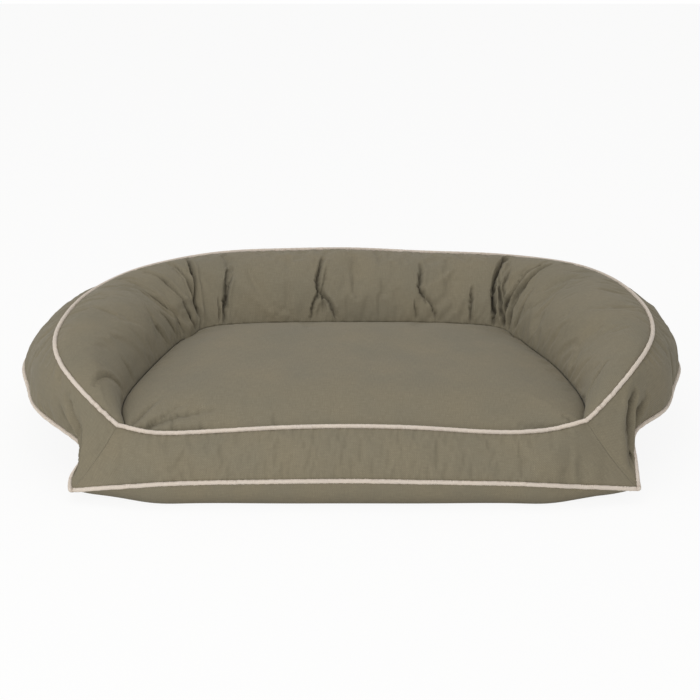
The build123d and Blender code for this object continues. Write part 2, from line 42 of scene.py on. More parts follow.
# The bed's shape in mm. Each upright section has: the place it stands at, the way it faces in
# degrees, then seat seam, upper seam and lower seam as (outwards, up), the floor's edge, and how
# far the bolster panel, the band and the base swell out past straight. The first is the middle of
# the back and the last is the mitre seam at the front corner.
bedShape = {
    "right": [
        (0, 95, 90, (88, 108), (241, 196), (284, 105), 201.5, 31, 11, 12),
        (125, 95, 90, (86, 108), (239, 191), (284, 105), 201.5, 31, 11, 12),
        (235, 95, 90, (70, 107), (232, 189), (281, 105), 200, 31, 12, 12),
        (250, 90, 67, (46, 106), (216, 191), (273, 105), 200, 36, 14, 12),
        (250, 85, 45, (35, 105), (206, 196), (267, 105), 196, 42, 15, 12),
        (250, 80, 22, (37, 105), (206, 197), (270, 105), 194, 45, 15, 12),
        (250, 40, 0, (50, 107), (220, 199), (278, 107), 195, 48, 13, 8),
        (250, -60, 0, (80, 110), (226, 201), (279, 107), 193, 45, 11, 2),
        (250, -135, 0, (95, 111), (220, 197), (257, 101), 183, 38, 11, -6),
        (250, -195, -4, (105, 111), (197, 189), (228, 92), 150, 33, 11, -14),
        (250, -238, -8, (106, 110), (168, 173), (182, 81), 134, 26, 10, -14),
        (250, -263, -14, (101, 108), (136, 147), (181, 55), 124, 14, 6, -3),
        (250, -275, -22, (98, 106), (106, 119), (189, 23), 124, 3, -4, 2),
    ],
    "left": [
        (0, 95, 90, (88, 108), (241, 196), (284, 105), 201.5, 31, 11, 12),
        (125, 95, 90, (86, 108), (236, 196), (284, 105), 201.5, 31, 11, 12),
        (235, 95, 90, (71, 107), (228, 193), (281, 107), 200, 31, 12, 12),
        (250, 90, 67, (48, 106), (206, 189), (266, 110), 200, 36, 12, 12),
        (250, 85, 45, (38, 105), (197, 187), (262, 113), 196, 41, 11, 12),
        (250, 80, 22, (42, 105), (199, 183), (271, 115), 194, 44, 10, 12),
        (250, 40, 0, (56, 107), (208, 190), (282, 112), 195, 46, 9, 8),
        (250, -60, 0, (78, 110), (213, 198), (284, 108), 193, 44, 9, 2),
        (250, -135, 0, (93, 111), (215, 197), (264, 102), 183, 40, 10, -6),
        (250, -195, -4, (103, 111), (205, 189), (233, 90), 150, 35, 11, -14),
        (250, -238, -8, (104, 110), (181, 173), (173, 66), 132, 28, 10, -10),
        (250, -252, -11, (102, 109), (165, 161), (161, 54), 122, 22, 8, -5),
        (250, -265, -16, (99, 107), (139, 139), (180, 32), 118, 12, 3, -1),
        (250, -275, -22, (96, 104), (109, 112), (184, 20), 124, 3, -4, 2),
    ],
    # across the open front: place across, upper seam and lower seam as (y, up), floor edge's y
    "front": [
        (305, (-320, 109), (-366, 36), -347),
        (250, (-321, 103), (-367, 39), -350),
        (120, (-317, 107), (-367, 42), -350),
        (0, (-315, 110), (-367, 44), -350),
        (-120, (-317, 108), (-367, 43), -350),
        (-250, (-321, 102), (-366, 40), -350),
        (-305, (-321, 103), (-366, 37), -347),
    ],
    "frontSwell": (10, 6),
    "backwards": -5.5,
    "columns": 360,
    "frontColumns": 150,
    "crownRows": 32,
    "bandRows": 16,
    # rows down the base panel's slope, as shares; the seventh and the eleventh edge the zip's opening
    "baseRows": [0, 0.04, 0.08, 0.12, 0.155, 0.19, 0.2309, 0.275, 0.3204, 0.365, 0.41, 0.46,
                 0.52, 0.58, 0.64, 0.7, 0.76, 0.82, 0.88, 0.94, 1],
}


def smoothThrough(knots, values, wanted):
    # a natural cubic spline through the values
    knots = np.asarray(knots, float)
    values = np.asarray(values, float)
    steps = np.diff(knots)
    count = len(knots)
    system = np.eye(count)
    right = np.zeros(values.shape)
    for i in range(1, count - 1):
        system[i, i - 1:i + 2] = steps[i - 1], 2 * (steps[i - 1] + steps[i]), steps[i]
        ahead = (values[i + 1] - values[i]) / steps[i]
        right[i] = 3 * (ahead - (values[i] - values[i - 1]) / steps[i - 1])
    bends = np.linalg.solve(system, right.reshape(count, -1)).reshape(values.shape)
    span = np.clip(np.searchsorted(knots, wanted, side="right") - 1, 0, count - 2)
    shape = (-1,) + (1,) * (values.ndim - 1)
    past = (np.asarray(wanted, float) - knots[span]).reshape(shape)
    step = steps[span].reshape(shape)
    slope = (values[span + 1] - values[span]) / step - step * (2 * bends[span] + bends[span + 1]) / 3
    cubic = (bends[span + 1] - bends[span]) / (3 * step)
    return values[span] + slope * past + bends[span] * past**2 + cubic * past**3


def runLengths(points):
    return np.concatenate([[0], np.cumsum(np.linalg.norm(np.diff(points, axis=0), axis=1))])


def arcPoints(start, end, swell, shares):
    start, end = np.array(start, float), np.array(end, float)
    chord = np.linalg.norm(end - start)
    radius = (chord**2 / 4 + swell**2) / (2 * swell)
    along = (end - start) / chord
    out = np.array([-along[1], along[0]])
    half = math.asin(min(1, chord / 2 / radius))
    if abs(swell) > abs(radius):
        half = math.pi - half
    turn = half * (2 * np.asarray(shares)[:, None] - 1)
    return (start + end) / 2 + out * (swell - radius) + radius * (np.sin(turn) * along + np.cos(turn) * out)


def evenShares(rows):
    return np.linspace(0, 1, rows + 1)


def bolsterSection(row, side):
    placeX, placeY, facing, seat, upper, lower, floorEdge, crown, band, base = row
    way = math.radians(facing)
    flat = np.concatenate([
        arcPoints(seat, upper, crown, evenShares(bedShape["crownRows"])),
        arcPoints(upper, lower, band, evenShares(bedShape["bandRows"])),
        arcPoints(lower, (floorEdge, 0), base, bedShape["baseRows"]),
    ])
    return np.stack([
        side * (placeX + math.cos(way) * flat[:, 0]),
        placeY + math.sin(way) * flat[:, 0] + bedShape["backwards"],
        flat[:, 1],
    ], 1) * mm


def frontSection(row):
    placeX, upper, lower, floorEdge = row
    bandSwell, baseSwell = bedShape["frontSwell"]
    upper, lower = (-upper[0], upper[1]), (-lower[0], lower[1])
    flat = np.concatenate([
        arcPoints(upper, lower, bandSwell, evenShares(bedShape["bandRows"])),
        arcPoints(lower, (-floorEdge, 0), baseSwell, bedShape["baseRows"]),
    ])
    return np.stack([np.full(len(flat), placeX), bedShape["backwards"] - flat[:, 0], flat[:, 1]], 1) * mm


crownEnd = bedShape["crownRows"] + 1
bandEnd = crownEnd + bedShape["bandRows"] + 1
leftSections = [bolsterSection(row, -1) for row in bedShape["left"]]
rightSections = [bolsterSection(row, 1) for row in bedShape["right"]]
sections = np.array(leftSections[::-1] + rightSections[1:])
stations = runLengths(sections[:, crownEnd - 1])
bolster = smoothThrough(stations, sections, np.linspace(0, stations[-1], bedShape["columns"] + 1))
fronts = np.array(
    [rightSections[-1][crownEnd:]]
    + [frontSection(row) for row in bedShape["front"]]
    + [leftSections[-1][crownEnd:]]
)
frontStations = runLengths(fronts[:, 0])
front = smoothThrough(frontStations, fronts, np.linspace(0, frontStations[-1], bedShape["frontColumns"] + 1))
panels = {
    "crown": bolster[:, :crownEnd],
    "outer": bolster[:, crownEnd:bandEnd],
    "front": front[:, :bandEnd - crownEnd],
}
slope = np.concatenate([bolster[:, bandEnd:], front[1:-1, bandEnd - crownEnd:]])
print("bed surface", bolster.shape, front.shape)

# The seat: a patch between the front seam and the bolster's foot, crowned over its filling
seatShape = {
    "across": 110,
    "deep": 84,
    # how far round the bolster's foot each of the patch's back corners lies
    "cornerShare": 0.3375,
    # close points on the rim: round the bolster's foot, and along the front
    "rimPoints": (700, 400),
    "rise": 35,
    # how far from its seam the seat is full, and how round and how blunt its edge is
    "edge": {"rolled": 165, "roundness": 2.4, "flatness": 0.75},
    "backEdge": {"rolled": 225, "roundness": 2.1, "flatness": 0.98},
    # backEdge takes over from edge over this stretch, front to back
    "takeover": {"from": -60, "over": 170},
}


def resampled(points, count):
    lengths = runLengths(points)
    wanted = np.linspace(0, lengths[-1], count)
    return np.stack([np.interp(wanted, lengths, points[:, k]) for k in range(3)], 1)


def distanceTo(points, line):
    # how far each point is from a line of close points, seen from above
    flat = points.reshape(-1, 3)[:, :2]
    parts = np.array_split(flat, 12)  # so that the table of distances stays small
    found = [np.sqrt(((part[:, None] - line[None, :, :2]) ** 2).sum(2).min(1)) for part in parts]
    return np.concatenate(found).reshape(points.shape[:-1])


def seatSurface():
    foot = panels["crown"][:, 0]
    frontSeam = panels["front"][::-1, 0]
    corner = int(len(foot) * seatShape["cornerShare"])
    left = np.concatenate([frontSeam[:1], foot[1:corner + 1]])
    back = foot[corner:len(foot) - corner]
    right = np.concatenate([frontSeam[-1:], foot[::-1][1:corner + 1]])
    low = resampled(frontSeam, seatShape["across"] + 1)[:, None]
    high = resampled(back, seatShape["across"] + 1)[:, None]
    left = resampled(left, seatShape["deep"] + 1)[None]
    right = resampled(right, seatShape["deep"] + 1)[None]
    across = np.linspace(0, 1, seatShape["across"] + 1)[:, None, None]
    deep = np.linspace(0, 1, seatShape["deep"] + 1)[None, :, None]
    corners = (
        (1 - across) * (1 - deep) * low[0, 0] + across * (1 - deep) * low[-1, 0]
        + (1 - across) * deep * high[0, 0] + across * deep * high[-1, 0]
    )
    patch = (1 - deep) * low + deep * high + (1 - across) * left + across * right - corners
    footPoints, frontPoints = seatShape["rimPoints"]
    rim = np.concatenate([resampled(foot, footPoints), resampled(frontSeam, frontPoints)])
    fromRim = distanceTo(patch, rim)
    full, gentle = [
        (1 - (1 - np.minimum(fromRim / (kind["rolled"] * mm), 1)) ** kind["roundness"]) ** kind["flatness"]
        for kind in (seatShape["edge"], seatShape["backEdge"])
    ]
    takeover = seatShape["takeover"]
    backward = np.clip((patch[:, :, 1] - takeover["from"] * mm) / (takeover["over"] * mm), 0, 1)
    backward = backward * backward * (3 - 2 * backward)
    swell = full + (gentle - full) * backward
    swell[[0, -1]] = 0
    swell[:, [0, -1]] = 0
    patch[:, :, 2] += swell * seatShape["rise"] * mm
    return patch


panels["seat"] = seatSurface()

# The base panel: its slope all round, then on under the bed to the middle of the floor
floorShape = {"rings": 10, "spine": 300, "spineY": -25, "weld": 0.2}


def baseSurface():
    edge = slope[:, -1]
    spine = edge.copy()
    spine[:, 0] = np.clip(edge[:, 0], -floorShape["spine"] * mm, floorShape["spine"] * mm)
    spine[:, 1] = floorShape["spineY"] * mm
    shares = np.linspace(0, 1, floorShape["rings"] + 1)[1:]
    rings = [edge + (spine - edge) * share for share in shares]
    ring = np.concatenate([slope, np.stack(rings, 1)], 1)
    return np.concatenate([ring, ring[:1]])


panels["base"] = baseSurface()


def normalsOf(points):
    along = np.gradient(points, axis=0)
    across = np.gradient(points, axis=1)
    out = np.cross(along, across)
    return out / np.maximum(np.linalg.norm(out, axis=2, keepdims=True), 1e-9)


def clothPiece(name, points, paintedFoldShadeMasks=None):
    # a grid whose corners are carried to the panel's points; its UV map is in metres of cloth, and
    # the last argument says how much painted shade each point gets at the bottom of a fold, from 0 to 1
    along, across = points.shape[0] - 1, points.shape[1] - 1
    lengthAlong = runLengths(points[:, across // 2])
    lengthAcross = np.array([runLengths(column) for column in points])
    shape = bmesh.new()
    bmesh.ops.create_grid(shape, x_segments=along, y_segments=across, size=0.5)
    shape.verts.index_update()
    spots = [(round((v.co.x + 0.5) * along), round((v.co.y + 0.5) * across)) for v in shape.verts]
    for v, spot in zip(shape.verts, spots):
        v.co = points[spot]
    weave = shape.loops.layers.uv.new("weave")
    for face in shape.faces:
        face.smooth = True
        for loop in face.loops:
            column, row = spots[loop.vert.index]
            loop[weave].uv = lengthAlong[column], lengthAcross[column, row]
    mesh = bpy.data.meshes.new(name)
    shape.to_mesh(mesh)
    shape.free()
    piece = bpy.data.objects.new(name, mesh)
    scene.collection.objects.link(piece)
    spots = np.array(spots)
    # painted fold shade, written as a point attribute for the cloth's material
    if paintedFoldShadeMasks is not None:
        paintedFoldShadeMask = mesh.attributes.new("paintedFoldShadeMask", "FLOAT", "POINT")
        paintedFoldShadeMask.data.foreach_set("value", paintedFoldShadeMasks[spots[:, 0], spots[:, 1]])
    return piece, spots


def readPoints(mesh):
    flat = np.zeros(len(mesh.vertices) * 3)
    mesh.vertices.foreach_get("co", flat)
    return flat.reshape(-1, 3)


def writePoints(piece, points):
    piece.data.vertices.foreach_set("co", points.reshape(-1))
    piece.data.update()


def finer(points, alongTimes, acrossTimes):
    # the same surface with more columns and rows, for folds narrower than the first grid's cells
    for axis, times in ((0, alongTimes), (1, acrossTimes)):
        points = np.swapaxes(points, 0, axis)
        count = points.shape[0]
        wanted = np.linspace(0, count - 1, (count - 1) * times + 1)
        points = np.swapaxes(smoothThrough(np.arange(count), points, wanted), 0, axis)
    return points


def toGrid(flat, spots, shape):
    grid = np.zeros(shape)
    grid[spots[:, 0], spots[:, 1]] = flat
    return grid


# The stuffing: cloth blown out between its seams, by swellLimit mm at most. limitRise is how fast
# that limit comes in from a seam, and a shrink below nothing lets the cloth grow.
stuffing = {
    "frames": 20,
    "quality": 6,
    "mass": 0.3,
    "bending": 0.8,
    "pressure": 4,
    "limitRise": 6,
    "seat": {"swellLimit": 4, "shrink": -0.015},
    "crown": {"swellLimit": 5, "shrink": -0.025},
    "outer": {"swellLimit": 8, "shrink": -0.025},
    "front": {"swellLimit": 7, "shrink": -0.02},
}


def stuffTogether(made):
    for key, (piece, spots) in made.items():
        last = spots.max(0)
        onSeam = (spots == 0).any(1) | (spots == last).any(1)
        held = piece.vertex_groups.new(name="held")
        held.add([int(i) for i in np.nonzero(onSeam)[0]], 1, "REPLACE")
        cloth = piece.modifiers.new("stuffing", "CLOTH")
        cloth.settings.quality = stuffing["quality"]
        cloth.settings.mass = stuffing["mass"]
        cloth.settings.bending_stiffness = stuffing["bending"]
        cloth.settings.use_pressure = True
        cloth.settings.uniform_pressure_force = stuffing["pressure"]
        cloth.settings.shrink_min = stuffing[key]["shrink"]
        cloth.settings.effector_weights.gravity = 0
        cloth.settings.vertex_group_mass = "held"
        cloth.collision_settings.use_collision = False
        cloth.point_cache.frame_start = 1
        cloth.point_cache.frame_end = stuffing["frames"]
    for number in range(1, stuffing["frames"] + 1):
        scene.frame_set(number)
    graph = bpy.context.evaluated_depsgraph_get()
    for key, (piece, spots) in made.items():
        start = readPoints(piece.data)
        moved = readPoints(piece.evaluated_get(graph).data) - start
        last = spots.max(0)
        fromSeam = np.minimum(spots, last - spots) / last
        limit = stuffing[key]["swellLimit"] * mm * np.minimum(1, fromSeam.min(1) * stuffing["limitRise"])
        far = np.maximum(np.linalg.norm(moved, axis=1), 1e-9)
        piece.modifiers.clear()
        piece.vertex_groups.clear()
        writePoints(piece, start + moved * np.minimum(1, limit / far)[:, None])
    scene.frame_set(1)


# Folds as (depth mm, width mm, places), each place a share of the way along and across the panel
folds = {
    "crown": [
        (16, 4, [(0.352, 0.92), (0.354, 0.47), (0.354, 0.31), (0.353, 0.01)]),
        (8, 4, [(0.335, 0.73), (0.345, 0.36), (0.349, 0.15)]),
        (4.8, 3, [(0.342, 0.62), (0.349, 0.34), (0.351, 0.18)]),
        (9.6, 5, [(0.293, 0.74), (0.308, 0.4), (0.325, 0.19), (0.338, 0.01)]),
        (6.4, 5, [(0.254, 0.59), (0.257, 0.31), (0.272, 0.03)]),
        (4.8, 4, [(0.31, 0.3), (0.326, 0.08), (0.33, 0.01)]),
        (4.8, 4, [(0.223, 0.3), (0.236, 0.02)]),
        (4.8, 4, [(0.195, 0.24), (0.203, 0.02)]),
        (1.5, 12, [(0.056, 0.51), (0.088, 0.03)]),
        (4.8, 4, [(0.04, 0.75), (0.07, 0.35), (0.08, 0.08)]),
        (3.2, 4, [(0.11, 0.3), (0.115, 0.03)]),
        (11.2, 4, [(0.395, 0.6), (0.393, 0.24), (0.394, 0.01)]),
        (6.4, 3, [(0.399, 0.5), (0.395, 0.3), (0.3945, 0.2)]),
        (4.8, 3, [(0.388, 0.25), (0.3895, 0.02)]),
        (11.2, 4, [(0.472, 0.7), (0.467, 0.39), (0.469, 0.23)]),
        (8, 3, [(0.469, 0.27), (0.464, 0.17), (0.462, 0.01)]),
        (8, 3, [(0.469, 0.3), (0.478, 0.18), (0.485, 0.01)]),
        (4.8, 3, [(0.476, 0.55), (0.472, 0.3), (0.4735, 0.1)]),
        (9.6, 4, [(0.556, 0.62), (0.554, 0.34), (0.559, 0.19)]),
        (6.4, 3, [(0.559, 0.24), (0.564, 0.17), (0.567, 0.01)]),
        (4.8, 3, [(0.551, 0.2), (0.552, 0.02)]),
        (8, 3, [(0.596, 0.36), (0.593, 0.15), (0.594, 0.01)]),
        (16, 4, [(0.632, 0.86), (0.625, 0.69), (0.618, 0.49), (0.615, 0.33), (0.616, 0.14), (0.618, 0.01)]),
        (9.6, 4, [(0.623, 0.5), (0.626, 0.2), (0.636, 0.01)]),
        (6.4, 3, [(0.638, 0.6), (0.63, 0.4), (0.6305, 0.15)]),
        (12.8, 4, [(0.676, 0.71), (0.652, 0.41), (0.637, 0.25), (0.633, 0.04)]),
        (8, 4, [(0.683, 0.54), (0.665, 0.4), (0.646, 0.21)]),
        (9.6, 5, [(0.688, 0.75), (0.672, 0.42), (0.651, 0.19), (0.654, 0.01)]),
        (4.8, 4, [(0.7, 0.4), (0.688, 0.1), (0.686, 0.02)]),
        (4.8, 4, [(0.93, 0.6), (0.95, 0.25), (0.965, 0.05)]),
    ],
    "outer": [
        (14.3, 7, [(0.952, 0.3), (0.963, 0.52), (0.971, 0.75), (0.983, 0.94)]),
        (14.3, 7, [(0.048, 0.3), (0.037, 0.52), (0.029, 0.75), (0.017, 0.94)]),
        (7.8, 9, [(0.94, 0.55), (0.95, 0.8), (0.955, 0.97)]),
        (7.8, 9, [(0.06, 0.55), (0.05, 0.8), (0.045, 0.97)]),
        (5.2, 6, [(0.966, 0.4), (0.978, 0.6), (0.989, 0.9)]),
        (5.2, 6, [(0.034, 0.4), (0.022, 0.6), (0.011, 0.9)]),
        (5.2, 12, [(0.3, 0.05), (0.31, 0.6)]),
        (5.2, 12, [(0.68, 0.05), (0.67, 0.55)]),
        (3.9, 12, [(0.42, 0.9), (0.425, 0.4)]),
        (3.9, 12, [(0.53, 0.95), (0.525, 0.5)]),
        (3.9, 12, [(0.17, 0.9), (0.18, 0.3)]),
        (3.9, 12, [(0.84, 0.9), (0.83, 0.35)]),
        (2.6, 8, [(0.37, 0.05), (0.372, 0.5)]),
        (2.6, 8, [(0.61, 0.05), (0.605, 0.45)]),
    ],
    "front": [
        (2.2, 8, [(0.955, 0.3), (0.945, 0.96)]),
        (1.6, 8, [(0.92, 0.5), (0.91, 0.97)]),
        (2.4, 6, [(0.985, 0.15), (0.972, 0.5), (0.965, 0.95)]),
        (1.2, 8, [(0.86, 0.6), (0.85, 0.97)]),
        (2.5, 9, [(0.045, 0.3), (0.055, 0.95)]),
        (1.5, 12, [(0.62, 0.55), (0.61, 0.97)]),
        (1.5, 12, [(0.3, 0.5), (0.31, 0.97)]),
        (1.5, 12, [(0.74, 0.03), (0.75, 0.5)]),
    ],
    "seat": [
        (5.1, 5, [(0.01, 0.0), (0.06, 0.05), (0.12, 0.08), (0.2, 0.1)]),
        (5.1, 4, [(0.0, 0.02), (0.04, 0.08), (0.08, 0.15)]),
        (4.2, 4, [(0.02, 0.0), (0.09, 0.025), (0.19, 0.04)]),
        (3.4, 4, [(0.03, 0.0), (0.07, 0.06), (0.14, 0.13)]),
        (3.4, 4, [(0.1, 0.0), (0.11, 0.07)]),
        (3.4, 4, [(0.16, 0.0), (0.17, 0.06)]),
        (3.4, 4, [(0.33, 0.0), (0.325, 0.07)]),
        (4.2, 5, [(0.99, 0.0), (0.93, 0.04), (0.86, 0.06)]),
        (3.4, 4, [(1.0, 0.03), (0.95, 0.08)]),
        (2.5, 14, [(0.35, 0.98), (0.4, 0.7)]),
        (2.5, 14, [(0.7, 0.98), (0.66, 0.72)]),
    ],
    "base": [],
}

# Small puckers where the stitching gathers each panel, and the stuffing's own unevenness
gathers = {"crown": 1.1, "outer": 1.0, "front": 0.6, "seat": 0.7, "base": 0.8}
lumps = {"crown": 2.2, "outer": 2.0, "front": 1.4, "seat": 1.6, "base": 0.8}
gatherReach = 22
gatherSpacing = (16, 19)

# In mm: folds and lumps come in over "settle" from a seam, and lumps over "calm" from the long
# seams too. The zip's place is kept flat to zipHalf each side and behind zipBehind, and the base
# panel is flat up to floorFlat, then uneven over floorEase. broadNoise is how tight the lumps are.
finishing = {
    "settle": 7,
    "calm": 30,
    "broadNoise": (9, 21),
    "floorFlat": 2,
    "floorEase": 20,
    "zipHalf": 235,
    "zipBehind": 250,
}
# A ditch beside the piping, which fades out at the panel's ends, and one beside each mitre seam
ditchShape = {"depth": 1.8, "width": 4.5, "endFade": 9, "mitreAway": 4, "mitreWidth": 3}

# A fold is a valley, steep on one side and gentle on the other, with a low ridge at its foot. Its
# line wanders, and it fades at both ends. Folds deeper than darkFrom mm get painted shade at the bottom.
foldShape = {
    "steps": 24,
    "reach": 90,
    "wander": 0.25,
    "wanderNoise": 45,
    "steep": 2.4,
    "gentle": 0.9,
    "blunt": 0.2,
    "ridge": 0.3,
    "ridgeAway": 2.2,
    "pastEnds": 0.15,
    "fade": 0.4,
    # painted shade at the bottom of deep folds: the depth it starts at, the depth over which it comes to full
    # strength, and how narrow it is
    "darkFrom": 3,
    "darkOver": 8,
    "darkWidth": 0.6,
}


def seededRun(lengths, spacing, seed):
    knots = np.arange(0, lengths[-1] + 3 * spacing, spacing)
    values = np.random.default_rng(seed).uniform(-1, 1, len(knots))
    return smoothThrough(knots, values, lengths)


def foldDepth(points, fold):
    depth, width, places = fold
    steps = foldShape["steps"]
    last = np.array(points.shape[:2]) - 1
    line = []
    for (a, b), (c, d) in zip(places[:-1], places[1:]):
        line += [(a + (c - a) * k / steps, b + (d - b) * k / steps) for k in range(steps)]
    line = np.array(line + [places[-1]])
    spots = np.rint(line * last).astype(int)
    onPanel = points[spots[:, 0], spots[:, 1]]
    low, high = spots[:, 0].min(), spots[:, 0].max()
    edge = int(foldShape["reach"] * mm / (runLengths(points[:, 0])[-1] / last[0])) + 2
    part = slice(max(0, low - edge), min(high + edge, len(points)))
    whole, paintedFoldShadeMask = np.zeros(points.shape[:2]), np.zeros(points.shape[:2])
    points = points[part]
    gaps = np.linalg.norm(points[:, :, None] - onPanel[None, None], axis=3)
    nearest = gaps.argmin(2)
    wavy = [noise.noise(Vector(p) * foldShape["wanderNoise"]) for p in points.reshape(-1, 3)]
    wavy = np.array(wavy).reshape(nearest.shape)
    # cloth lies over itself on one side, so a fold is steep on that side and gentle on the other
    steep = np.arange(part.start, part.start + len(points))[:, None] < spots[nearest, 0]
    away = np.abs(gaps.min(2) / (width * mm) + foldShape["wander"] * wavy)
    away *= np.where(steep, foldShape["steep"], foldShape["gentle"])
    travel = nearest / (len(line) - 1)
    past, blunt = foldShape["pastEnds"], foldShape["blunt"]
    fade = np.clip(np.minimum(travel + past, 1 + past - travel) / foldShape["fade"], 0, 1)
    valley = np.exp(blunt - np.sqrt(away**2 + blunt**2))
    ridge = foldShape["ridge"] * np.exp(-((away - foldShape["ridgeAway"]) ** 2))
    whole[part] = -depth * mm * fade * (valley - ridge)
    # painted shade: how strongly the cloth's colour is darkened along the bottom of this fold
    dark = min(1, max(0, depth - foldShape["darkFrom"]) / foldShape["darkOver"])
    paintedFoldShadeMask[part] = fade * dark * np.exp(-((away / foldShape["darkWidth"]) ** 2))
    return whole, paintedFoldShadeMask


def seamAway(points):
    # how far each point of the panel is from the nearest seam, in metres
    across = np.array([runLengths(column) for column in points])
    along = np.stack([runLengths(points[:, row]) for row in range(points.shape[1])], 1)
    sides = np.minimum(across, across[:, -1:] - across)
    ends = np.minimum(along, along[-1:] - along)
    return sides, ends


def finishedSurface(key, points, seed):
    sides, ends = seamAway(points)
    seam = sides if key == "base" else np.minimum(sides, ends)
    settle = 1 - np.exp(-((seam / (finishing["settle"] * mm)) ** 2))
    change, paintedFoldShadeMasks = np.zeros(points.shape[:2]), np.zeros(points.shape[:2])
    for fold in folds[key]:
        height, paintedFoldShadeMask = foldDepth(points, fold)
        change += height
        # the strongest painted fold shade at each point
        paintedFoldShadeMasks = np.maximum(paintedFoldShadeMasks, paintedFoldShadeMask)
    flat = points.reshape(-1, 3)
    wide, tight = finishing["broadNoise"]
    shift = Vector((seed, 0, 0))
    broad = [noise.noise(Vector(p) * wide + shift) + 0.5 * noise.noise(Vector(p) * tight) for p in flat]
    calm = 1 - np.exp(-((sides / (finishing["calm"] * mm)) ** 2))
    change += np.array(broad).reshape(change.shape) * lumps[key] * mm * calm
    lengths = runLengths(points[:, points.shape[1] // 2])
    nearSpacing, farSpacing = gatherSpacing
    nearRun = seededRun(lengths, nearSpacing * mm, seed)[:, None]
    farRun = seededRun(lengths, farSpacing * mm, seed + 50)[:, None]
    reach = gatherReach * mm
    start = np.array([runLengths(column) for column in points])
    end = start[:, -1:] - start
    change += gathers[key] * mm * (nearRun * np.exp(-start / reach) + farRun * np.exp(-end / reach))
    # the seat and the crown have piping along one long seam only
    piped = {"seat": start, "crown": end}.get(key, sides)
    ditch = np.exp(-((piped / (ditchShape["width"] * mm)) ** 2))
    ditch *= 1 - np.exp(-((ends / (ditchShape["endFade"] * mm)) ** 2))
    if key in ("outer", "front"):
        mitre = (ends - ditchShape["mitreAway"] * mm) / (ditchShape["mitreWidth"] * mm)
        ditch += np.exp(-(mitre**2)) * settle
    if key == "base":
        # no ditch here, and the floor and the zip's place stay flat
        ditch = 0
        rise = (points[:, :, 2] - finishing["floorFlat"] * mm) / (finishing["floorEase"] * mm)
        change *= np.clip(rise, 0, 1)
        behind = points[:, :, 1] > finishing["zipBehind"] * mm
        change[behind & (np.abs(points[:, :, 0]) < finishing["zipHalf"] * mm)] = 0
    change = change * settle - ditch * ditchShape["depth"] * mm
    return points + normalsOf(points) * change[:, :, None], paintedFoldShadeMasks


made = {key: clothPiece(key, panels[key]) for key in ("seat", "crown", "outer", "front")}
stuffTogether(made)
print("stuffed", len(made), "panels by cloth simulation")
fineness = {"seat": (2, 2), "crown": (3, 2), "outer": (3, 2), "front": (3, 2)}
for number, (key, times) in enumerate(fineness.items()):
    piece, spots = made[key]
    stuffed = toGrid(readPoints(piece.data), spots, panels[key].shape)
    bpy.data.objects.remove(piece)
    panels[key], paintedFoldShadeMasks = finishedSurface(key, finer(stuffed, *times), 3 + number)
    # the cloth piece carries the painted fold shade as a point attribute
    made[key] = clothPiece(key, panels[key], paintedFoldShadeMasks)
panels["base"] = finer(panels["base"], 3, 1)
panels["base"][:-1] = finishedSurface("base", panels["base"], 11)[0][:-1]
panels["base"][-1] = panels["base"][0]
print("folds and gathers set")

# The zip in the rear slope, in mm: its middle, and the way out of the cloth
zipShape = {
    "middle": (0, 355.35, 65.52),
    "out": (0, 0.854043, -0.520203),
    "halfOpening": 200.3,
    "openingRows": (6, 10),
    "coilPitch": 1.6,
    "coilRun": 390,
    "coilMiddle": 1.55,
    "coilHeight": 1.8,
    "coilHalfWidth": 1.4,
    "coilHalfHeight": 1.05,
    "strandRadius": 0.36,
    "stitchPitch": 3.6,
    "stitchLength": 2.7,
    "stitchRadius": 0.3,
    "stitchRow": 9.5,
    "strandSides": 6,
    "turnSteps": 12,
    "slant": 0.35,
    "stitchHeight": 0.75,
    "stitchFlatness": 0.8,
    "stitchMargin": 6,
    "stitchStart": 2,
}


def openForZip(points):
    # the columns nearest the opening's ends are brought to them; returns the columns between
    low, high = zipShape["openingRows"]
    rear = np.nonzero(points[:, low, 1] > finishing["zipBehind"] * mm)[0]
    ends = []
    for side in (-1, 1):
        column = rear[np.abs(points[rear, low, 0] - side * zipShape["halfOpening"] * mm).argmin()]
        points[column, low:high + 1, 0] = side * zipShape["halfOpening"] * mm
        ends.append(column)
    return ends


zipColumns = openForZip(panels["base"])
made["base"] = clothPiece("base", panels["base"])


def closeBase(piece, spots):
    low, high = zipShape["openingRows"]
    shape = bmesh.new()
    shape.from_mesh(piece.data)
    shape.verts.ensure_lookup_table()
    opening = []
    for face in shape.faces:
        column = min(spots[v.index][0] for v in face.verts)
        row = min(spots[v.index][1] for v in face.verts)
        if zipColumns[0] <= column < zipColumns[1] and low <= row < high:
            opening.append(face)
    bmesh.ops.delete(shape, geom=opening, context="FACES")
    bmesh.ops.remove_doubles(shape, verts=shape.verts, dist=floorShape["weld"] * mm)
    bmesh.ops.dissolve_degenerate(shape, edges=shape.edges, dist=floorShape["weld"] * mm)
    shape.to_mesh(piece.data)
    shape.free()


closeBase(*made["base"])

# Piping: a bias-cut sleeve round a filler cord, held in each seam
pipingShape = {
    "radius": 3.3,
    "proud": 1.8,
    "sides": 14,
    "spacing": 2.6,
    "cornerEase": 13,
    "outEase": 30,
    "wander": 0.3,
    "wanderOver": 30,
    "uneven": 0.02,
    "unevenOver": 12,
    "joinOver": 50,
    "weld": 0.05,
}


def closedRun(points, spacing):
    ring = np.concatenate([points, points[:1]])
    lengths = runLengths(ring)
    count = int(lengths[-1] / spacing)
    wanted = np.linspace(0, lengths[-1], count, endpoint=False)
    return np.stack([np.interp(wanted, lengths, ring[:, k]) for k in range(ring.shape[1])], 1)


def eased(values, steps):
    weights = np.exp(-np.linspace(-2, 2, 4 * steps + 1) ** 2)
    weights /= weights.sum()
    padded = np.concatenate([values[-2 * steps:], values, values[:2 * steps]])
    return np.stack([np.convolve(padded[:, k], weights, "valid") for k in range(values.shape[1])], 1)


